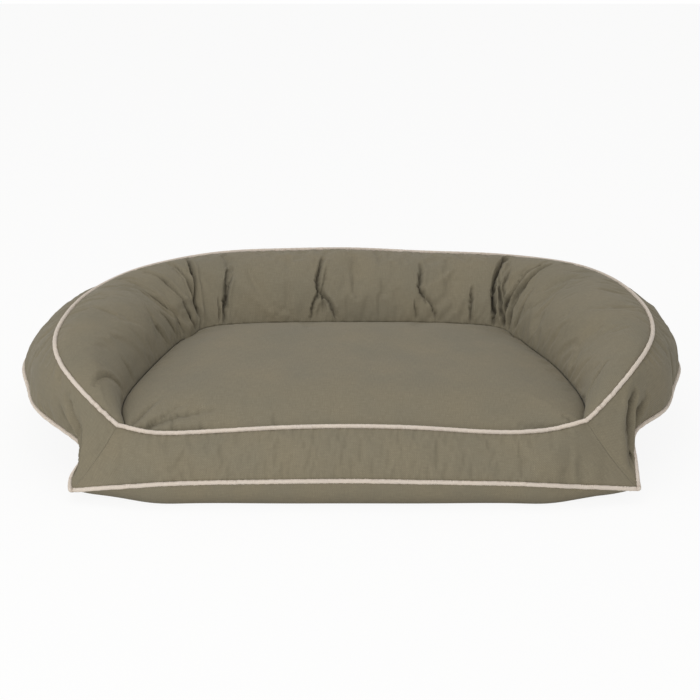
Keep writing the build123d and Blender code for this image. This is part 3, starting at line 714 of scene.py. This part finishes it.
def pipingPiece(name, points, outs, seed):
    spacing = pipingShape["spacing"] * mm
    run = closedRun(np.concatenate([points, outs], 1), spacing)
    centre = eased(run[:, :3], max(1, round(pipingShape["cornerEase"] / pipingShape["spacing"])))
    out = eased(run[:, 3:], round(pipingShape["outEase"] / pipingShape["spacing"]))
    ahead = np.roll(centre, -1, 0) - np.roll(centre, 1, 0)
    ahead /= np.linalg.norm(ahead, axis=1, keepdims=True)
    out -= ahead * (out * ahead).sum(1)[:, None]
    out /= np.linalg.norm(out, axis=1, keepdims=True)
    side = np.cross(ahead, out)
    lengths = np.arange(len(centre)) * spacing
    # no wander where the ring's two ends meet
    fromJoin = np.minimum(lengths, lengths[-1] - lengths)
    blendIn = np.minimum(1, fromJoin / (pipingShape["joinOver"] * mm))[:, None]
    wandering = seededRun(lengths, pipingShape["wanderOver"] * mm, seed)[:, None]
    wander = wandering * blendIn * pipingShape["wander"] * mm
    swelling = seededRun(lengths, pipingShape["unevenOver"] * mm, seed + 9)[:, None]
    swell = 1 + swelling * blendIn * pipingShape["uneven"]
    centre = centre + out * pipingShape["proud"] * mm + side * wander
    turns = np.linspace(0, 2 * math.pi, pipingShape["sides"] + 1)
    rings = np.stack([
        centre + swell * pipingShape["radius"] * mm * (math.cos(t) * out + math.sin(t) * side) for t in turns
    ], 1)
    piece, spots = clothPiece(name, np.concatenate([rings, rings[:1]]))
    shape = bmesh.new()
    shape.from_mesh(piece.data)
    bmesh.ops.remove_doubles(shape, verts=shape.verts, dist=pipingShape["weld"] * mm)
    bmesh.ops.recalc_face_normals(shape, faces=shape.faces)
    shape.to_mesh(piece.data)
    shape.free()
    return piece


frontOut = normalsOf(panels["front"])
frontUp = normalsOf(panels["seat"])[:, 0].mean(0)
upperPoints = np.concatenate([panels["crown"][:, -1], panels["front"][1:-1, 0]])
upperOuts = np.concatenate([
    normalsOf(panels["crown"])[:, -1] + normalsOf(panels["outer"])[:, 0], frontOut[1:-1, 0] + frontUp,
])
lowerPoints = np.concatenate([panels["outer"][:, -1], panels["front"][1:-1, -1]])
lowerOuts = np.concatenate([normalsOf(panels["outer"])[:, -1], frontOut[1:-1, -1]])
lowerOuts = lowerOuts + normalsOf(panels["base"])[:-1, 0]
upperPiping = pipingPiece("upperPiping", upperPoints, upperOuts, 21)
lowerPiping = pipingPiece("lowerPiping", lowerPoints, lowerOuts, 31)
print("piping swept")


def zipMatrix(x, y, z):
    # the zip's own plane: x runs across the bed, y up the slope, z out of the cloth
    out = Vector(zipShape["out"])
    up = out.cross(Vector((-1, 0, 0)))
    turn = Matrix((Vector((-1, 0, 0)), up, out)).transposed().to_4x4()
    place = Matrix.Translation(Vector(zipShape["middle"]) * mm) @ turn
    return place @ Matrix.Translation(Vector((x, y, z)) * mm)


def repeated(name, shape, pitch, run):
    mesh = bpy.data.meshes.new(name)
    shape.to_mesh(mesh)
    shape.free()
    mesh.shade_smooth()
    piece = bpy.data.objects.new(name, mesh)
    scene.collection.objects.link(piece)
    row = piece.modifiers.new("row", "ARRAY")
    row.count = int(run / pitch)
    row.use_relative_offset = False
    row.use_constant_offset = True
    row.constant_offset_displace = (pitch * mm, 0, 0)
    return piece


def coilTurns(name, side):
    # one slanted oval turn of nylon strand, repeated along the tape's edge
    pitch, run = zipShape["coilPitch"], zipShape["coilRun"]
    shape = bmesh.new()
    strand = bmesh.ops.create_circle(shape, cap_ends=False, segments=zipShape["strandSides"],
                                     radius=zipShape["strandRadius"] * mm)
    upright = Matrix.Rotation(math.radians(90), 4, "X")
    bmesh.ops.transform(shape, matrix=upright, verts=strand["verts"])
    reach = (zipShape["coilHalfWidth"] - zipShape["strandRadius"]) * mm
    bmesh.ops.translate(shape, vec=(0, 0, reach), verts=shape.verts)
    bmesh.ops.spin(shape, geom=shape.verts[:] + shape.edges[:], cent=(0, 0, 0), axis=(1, 0, 0),
                   angle=2 * math.pi, steps=zipShape["turnSteps"], use_merge=True, use_duplicate=False)
    bmesh.ops.recalc_face_normals(shape, faces=shape.faces)
    flatten = Matrix.Diagonal((1, 1, zipShape["coilHalfHeight"] / zipShape["coilHalfWidth"], 1))
    bmesh.ops.transform(shape, matrix=flatten, verts=shape.verts)
    for v in shape.verts:
        v.co.x += v.co.z * zipShape["slant"]
    start = run / 2 - pitch / 2 - (pitch / 2 if side > 0 else 0)
    place = zipMatrix(start, side * zipShape["coilMiddle"], zipShape["coilHeight"])
    bmesh.ops.transform(shape, matrix=place, verts=shape.verts)
    return repeated(name, shape, pitch, run - pitch)


def stitchRow(name, side):
    shape = bmesh.new()
    size = zipShape["stitchRadius"] * mm
    bmesh.ops.create_uvsphere(shape, u_segments=6, v_segments=5, radius=size)
    longer = zipShape["stitchLength"] / 2 / zipShape["stitchRadius"]
    bmesh.ops.scale(shape, vec=(longer, 1, zipShape["stitchFlatness"]), verts=shape.verts)
    run = 2 * zipShape["halfOpening"] - zipShape["stitchMargin"]
    start = run / 2 - zipShape["stitchStart"]
    place = zipMatrix(start, side * zipShape["stitchRow"], zipShape["stitchHeight"])
    bmesh.ops.transform(shape, matrix=place, verts=shape.verts)
    return repeated(name, shape, zipShape["stitchPitch"], run)


zipPieces = {
    "zipUpperTurns": coilTurns("zipUpperTurns", 1),
    "zipLowerTurns": coilTurns("zipLowerTurns", -1),
    "zipUpperStitching": stitchRow("zipUpperStitching", 1),
    "zipLowerStitching": stitchRow("zipLowerStitching", -1),
}
print("zip coils and stitching made")


def linear(code):
    parts = [int(code[i:i + 2], 16) / 255 for i in (1, 3, 5)]
    return [c / 12.92 if c <= 0.04045 else ((c + 0.055) / 1.055) ** 2.4 for c in parts] + [1]


def addNode(tree, kind, settings=None, links=None):
    node = tree.nodes.new(kind)
    for key, value in (settings or {}).items():
        if isinstance(key, int) or key in node.inputs:
            node.inputs[key].default_value = value
        else:
            setattr(node, key, value)
    for key, source in (links or {}).items():
        tree.links.new(source, node.inputs[key])
    return node


def newMaterial(name):
    material = bpy.data.materials.new(name)
    material.use_nodes = True
    material.node_tree.nodes.clear()
    return material, material.node_tree


def finishMaterial(tree, shader):
    addNode(tree, "ShaderNodeOutputMaterial", links={"Surface": shader.outputs[0]})


# Cotton twill, piece-dyed olive and washed: matt, with a soft nap, fine diagonal ribs, thicker
# yarns here and there and a faint unevenness of dye, with painted shade at the bottom of deep folds
coverTwill = {
    "warm": "#8b826c",
    "cool": "#827c6a",
    "dark": "#665e4e",
    "pale": "#a39c86",
    "patch": 95,
    # real ribs are 0.7 mm apart; drawn coarser so that they still show in a picture of the bed
    "rib": 2.2,
    "yarn": 1.5,
    "yarnLength": 14,
    "roughness": 0.92,
    "napSheen": 0.06,
    "ribHeight": 0.25,
    # painted shade for the bottom of deep folds: its colour and how strongly it is laid on
    "paintedFoldShade": "#2c281f",
    "paintedFoldShadeStrength": 0.72,
}


def twillMaterial(name, look):
    material, tree = newMaterial(name)
    weave = addNode(tree, "ShaderNodeUVMap", {"uv_map": "weave"}).outputs[0]
    dye = addNode(tree, "ShaderNodeTexNoise", {"Scale": 1000 / look["patch"], "Detail": 3}, {"Vector": weave})
    dyed = addNode(tree, "ShaderNodeValToRGB", links={0: dye.outputs["Fac"]})
    dyed.color_ramp.elements[0].position = 0.3
    dyed.color_ramp.elements[0].color = linear(look["cool"])
    dyed.color_ramp.elements[1].position = 0.7
    dyed.color_ramp.elements[1].color = linear(look["warm"])
    ribs = addNode(tree, "ShaderNodeTexWave", {
        "bands_direction": "DIAGONAL", "Scale": 2 * math.pi / (10 * look["rib"] * mm * math.sqrt(2)),
        "Distortion": 1.2, "Detail": 1, "Detail Scale": 2,
    }, {"Vector": weave})
    yarns = []
    for along, across in ((look["yarnLength"], look["yarn"]), (look["yarn"], look["yarnLength"])):
        scale = (1000 / along, 1000 / across, 1)
        stretch = addNode(tree, "ShaderNodeMapping", {"Scale": scale}, {"Vector": weave})
        yarn = addNode(tree, "ShaderNodeTexNoise", {"Scale": 1, "Detail": 2}, {"Vector": stretch.outputs[0]})
        yarns.append(yarn.outputs[0])
    thick = addNode(tree, "ShaderNodeMath", {"operation": "MULTIPLY"}, {0: yarns[0], 1: yarns[1]})
    shade = addNode(tree, "ShaderNodeMapRange", {1: 0.12, 2: 0.42, 3: 0.0, 4: 1.0}, {0: thick.outputs[0]})
    mottled = addNode(tree, "ShaderNodeMix", {"data_type": "RGBA", 7: linear(look["dark"])},
                      {6: dyed.outputs[0]})
    depth = addNode(tree, "ShaderNodeMapRange", {1: 0.0, 2: 1.0, 3: 0.38, 4: 0.0}, {0: shade.outputs[0]})
    tree.links.new(depth.outputs[0], mottled.inputs[0])
    grain = addNode(tree, "ShaderNodeMapRange", {1: 0.0, 2: 1.0, 3: 0.34, 4: 0.0}, {0: ribs.outputs["Fac"]})
    ribbed = addNode(tree, "ShaderNodeMix", {"data_type": "RGBA", 7: linear(look["dark"])},
                     {0: grain.outputs[0], 6: mottled.outputs[2]})
    lint = addNode(tree, "ShaderNodeTexNoise", {"Scale": 420, "Detail": 1}, {"Vector": weave})
    specks = addNode(tree, "ShaderNodeMapRange", {1: 0.72, 2: 0.8, 3: 0.0, 4: 0.45}, {0: lint.outputs["Fac"]})
    coloured = addNode(tree, "ShaderNodeMix", {"data_type": "RGBA", 7: linear(look["pale"])},
                       {0: specks.outputs[0], 6: ribbed.outputs[2]})
    height = addNode(tree, "ShaderNodeMath", {"operation": "MULTIPLY_ADD", 1: 0.6},
                     {0: ribs.outputs["Fac"], 2: shade.outputs[0]})
    # painted shade at the bottom of a fold, where little light reaches
    paintedFoldShadeMask = addNode(tree, "ShaderNodeAttribute", {"attribute_name": "paintedFoldShadeMask"})
    shadow = addNode(tree, "ShaderNodeMath", {"operation": "MULTIPLY", 1: look["paintedFoldShadeStrength"]},
                     {0: paintedFoldShadeMask.outputs["Fac"]})
    paintedFoldShade = addNode(tree, "ShaderNodeMix", {"data_type": "RGBA", 7: linear(look["paintedFoldShade"])},
                     {0: shadow.outputs[0], 6: coloured.outputs[2]})
    bump = addNode(tree, "ShaderNodeBump", {"Strength": 0.5, "Distance": look["ribHeight"] * mm},
                   {"Height": height.outputs[0]})
    shader = addNode(tree, "ShaderNodeBsdfPrincipled", {
        "Roughness": look["roughness"], "Sheen Weight": look["napSheen"], "Sheen Roughness": 0.5, "IOR": 1.5,
        "Specular IOR Level": 0.25,
    }, {"Base Color": paintedFoldShade.outputs[2], "Normal": bump.outputs[0]})
    finishMaterial(tree, shader)
    return material


# Bias-cut cotton over cord: cream, matt, its ribs slanting round the tube
pipingCotton = {
    "warm": "#e2d6c8",
    "cool": "#d7cdc3",
    "dark": "#b5a797",
    "pale": "#efe8de",
    "patch": 40,
    "rib": 1.6,
    "yarn": 1.2,
    "yarnLength": 9,
    "roughness": 0.9,
    "napSheen": 0.15,
    "ribHeight": 0.1,
    # painted fold shade colour and strength; the strength is nothing here, so the piping gets none
    "paintedFoldShade": "#8a7f70",
    "paintedFoldShadeStrength": 0,
}


def objectPattern(name, light, dark, scale, stretch, roughness, metallic=0.0, height=0.05, coat=0.0):
    # a finish whose pattern is read from the object's own place, for the zip's parts
    material, tree = newMaterial(name)
    place = addNode(tree, "ShaderNodeTexCoord").outputs["Object"]
    laid = addNode(tree, "ShaderNodeMapping", {"Scale": stretch}, {"Vector": place})
    pattern = addNode(tree, "ShaderNodeTexNoise", {"Scale": scale, "Detail": 3}, {"Vector": laid.outputs[0]})
    colours = addNode(tree, "ShaderNodeValToRGB", links={0: pattern.outputs["Fac"]})
    colours.color_ramp.elements[0].position = 0.35
    colours.color_ramp.elements[0].color = linear(dark)
    colours.color_ramp.elements[1].position = 0.65
    colours.color_ramp.elements[1].color = linear(light)
    worn = addNode(tree, "ShaderNodeMapRange", {1: 0.3, 2: 0.7, 3: roughness - 0.06, 4: roughness + 0.06},
                   {0: pattern.outputs["Fac"]})
    bump = addNode(tree, "ShaderNodeBump", {"Strength": 0.4, "Distance": height * mm},
                   {"Height": pattern.outputs["Fac"]})
    shader = addNode(tree, "ShaderNodeBsdfPrincipled", {"Metallic": metallic, "Coat Weight": coat}, {
        "Base Color": colours.outputs[0], "Roughness": worn.outputs[0], "Normal": bump.outputs[0],
    })
    finishMaterial(tree, shader)
    return material


materials = {
    "cover": twillMaterial("washedCottonTwill", coverTwill),
    "piping": twillMaterial("biasCutCotton", pipingCotton),
    # woven polyester tape: a tight matt weave, a shade darker than the cover
    "tape": objectPattern("wovenPolyesterTape", "#7e7864", "#6b654f", 900, (1, 1, 1), 0.85, height=0.08),
    # extruded nylon strand: smooth, slightly translucent looking, a soft shine
    "nylon": objectPattern("extrudedNylonStrand", "#757059", "#69644f", 500, (1, 1, 1), 0.38, height=0.01),
    # die-cast zinc, sprayed: satin paint with small dulled spots
    "paint": objectPattern("sprayedZinc", "#6d6855", "#5f5a48", 350, (1, 1, 1), 0.4, height=0.01, coat=0.2),
    # stamped aluminium clip: dull, faintly streaked along its length
    "stamped": objectPattern("stampedAluminium", "#bdbdba", "#a2a29e", 600, (0.2, 1, 1), 0.42, metallic=1.0,
                             height=0.01),
    # spun polyester thread
    "thread": objectPattern("spunPolyesterThread", "#8d866f", "#77715c", 1500, (1, 1, 1), 0.75, height=0.03),
}

# Each cloth panel's name, how full it is, and the CAD nodes that it stands for
dressing = {
    "seat": ("seatPanel", 0.75, ["cover_seat_panel", "seat_liner", "seat_fibre_layer", "seat_foam_core"]),
    "crown": ("bolsterPanel", 0.7, ["cover_bolster_panel", "bolster_liner", "bolster_filling"]),
    "outer": ("outerBand", 0.6, ["cover_outer_band"]),
    "front": ("frontBand", 0.6, ["cover_front_band"]),
    "base": ("basePanel", 0.5, ["cover_base_panel"]),
}
clothThickness = 1.2

for key, (name, fill, nodes) in dressing.items():
    piece = made[key][0]
    piece.name = name
    piece.data.name = name
    piece.data.materials.append(materials["cover"])
    wall = piece.modifiers.new("cloth", "SOLIDIFY")
    wall.thickness = clothThickness * mm
    wall.offset = -1
    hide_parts(*nodes)
    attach(piece, "bed")

for piece, nodes in (
    (upperPiping, ["upper_piping_sleeve", "upper_piping_cord"]),
    (lowerPiping, ["lower_piping_sleeve", "lower_piping_cord"]),
):
    piece.data.materials.append(materials["piping"])
    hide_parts(*nodes)
    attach(piece, "bed")

for name, piece in zipPieces.items():
    nylon = name.endswith("Turns")
    piece.data.materials.append(materials["nylon" if nylon else "thread"])
    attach(piece, "bed")
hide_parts("zip_upper_coil")
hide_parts("zip_lower_coil")

for node, finish in {
    "zip_upper_tape": "tape",
    "zip_lower_tape": "tape",
    "zip_slider": "paint",
    "zip_pull_tab": "paint",
    "zip_closed_end_stop": "stamped",
    "zip_open_end_stop": "stamped",
}.items():
    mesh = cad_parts[node].data
    mesh.materials.clear()
    mesh.materials.append(materials[finish])
print("pieces dressed")

# The studio: a pale floor, a white surround for the camera, and broad soft lamps
studio = {
    "floor": "#f1f0ed",
    "floorSize": 9,
    "floorDrop": 0.0004,
    "floorGlow": 0.9,
    "surround": 0.6,
    "lamps": [
        # name, watts, size, place, aim
        ("overhead", 13, 2.4, (-0.3, -0.2, 2.3), (0, 0, 0)),
        ("frontSoft", 33, 2.2, (-1.0, -2.6, 0.9), (0, 0, 0.1)),
    ],
}


def seenDirectly(tree):
    rays = addNode(tree, "ShaderNodeLightPath")
    first = addNode(tree, "ShaderNodeMath", {"operation": "MAXIMUM"},
                    {0: rays.outputs["Is Camera Ray"], 1: rays.outputs["Is Glossy Ray"]})
    return addNode(tree, "ShaderNodeMath", {"operation": "MAXIMUM"},
                   {0: first.outputs[0], 1: rays.outputs["Is Transmission Ray"]}).outputs[0]


def makeFloor():
    shape = bmesh.new()
    bmesh.ops.create_grid(shape, x_segments=1, y_segments=1, size=studio["floorSize"] / 2)
    bmesh.ops.translate(shape, vec=(0, 0, -studio["floorDrop"]), verts=shape.verts)
    mesh = bpy.data.meshes.new("floor")
    shape.to_mesh(mesh)
    shape.free()
    floor = bpy.data.objects.new("floor", mesh)
    scene.collection.objects.link(floor)
    material, tree = newMaterial("paleFloor")
    matt = addNode(tree, "ShaderNodeBsdfDiffuse", {"Color": linear(studio["floor"])})
    glow = addNode(tree, "ShaderNodeEmission", {"Color": (1, 1, 1, 1), "Strength": 1})
    amount = addNode(tree, "ShaderNodeMath", {"operation": "MULTIPLY", 1: studio["floorGlow"]},
                     {0: seenDirectly(tree)})
    both = addNode(tree, "ShaderNodeMixShader",
                   links={0: amount.outputs[0], 1: matt.outputs[0], 2: glow.outputs[0]})
    finishMaterial(tree, both)
    mesh.materials.append(material)


def makeSurround():
    world = bpy.data.worlds.new("surround")
    scene.world = world
    world.use_nodes = True
    tree = world.node_tree
    tree.nodes.clear()
    ambient = addNode(tree, "ShaderNodeBackground", {"Color": (1, 1, 1, 1), "Strength": studio["surround"]})
    white = addNode(tree, "ShaderNodeBackground", {"Color": (1, 1, 1, 1), "Strength": 1})
    both = addNode(tree, "ShaderNodeMixShader",
                   links={0: seenDirectly(tree), 1: ambient.outputs[0], 2: white.outputs[0]})
    addNode(tree, "ShaderNodeOutputWorld", links={0: both.outputs[0]})


def aimed(thing, place, aim):
    thing.location = place
    thing.rotation_euler = (Vector(aim) - Vector(place)).to_track_quat("-Z", "Y").to_euler()
    scene.collection.objects.link(thing)


makeFloor()
makeSurround()
for name, watts, size, place, aim in studio["lamps"]:
    lamp = bpy.data.lights.new(name, "AREA")
    lamp.energy = watts
    lamp.size = size
    aimed(bpy.data.objects.new(name, lamp), place, aim)

# The camera stands 20 degrees above the floor, straight in front
cameraView = {
    "lens": 94.65,
    "sensor": 36,
    "away": 3.0,
    "above": 20,
    "aim": (0, -0.0555, 0.1),
    "shift": (-3 / 700, 22 / 700),
}
camera = bpy.data.cameras.new("camera")
camera.lens = cameraView["lens"]
camera.sensor_width = cameraView["sensor"]
camera.shift_x, camera.shift_y = cameraView["shift"]
climb = math.radians(cameraView["above"])
stand = Vector(cameraView["aim"]) + Vector((0, -math.cos(climb), math.sin(climb))) * cameraView["away"]
eye = bpy.data.objects.new("camera", camera)
aimed(eye, stand, cameraView["aim"])
scene.camera = eye
scene.view_settings.view_transform = "Standard"
print("studio set")
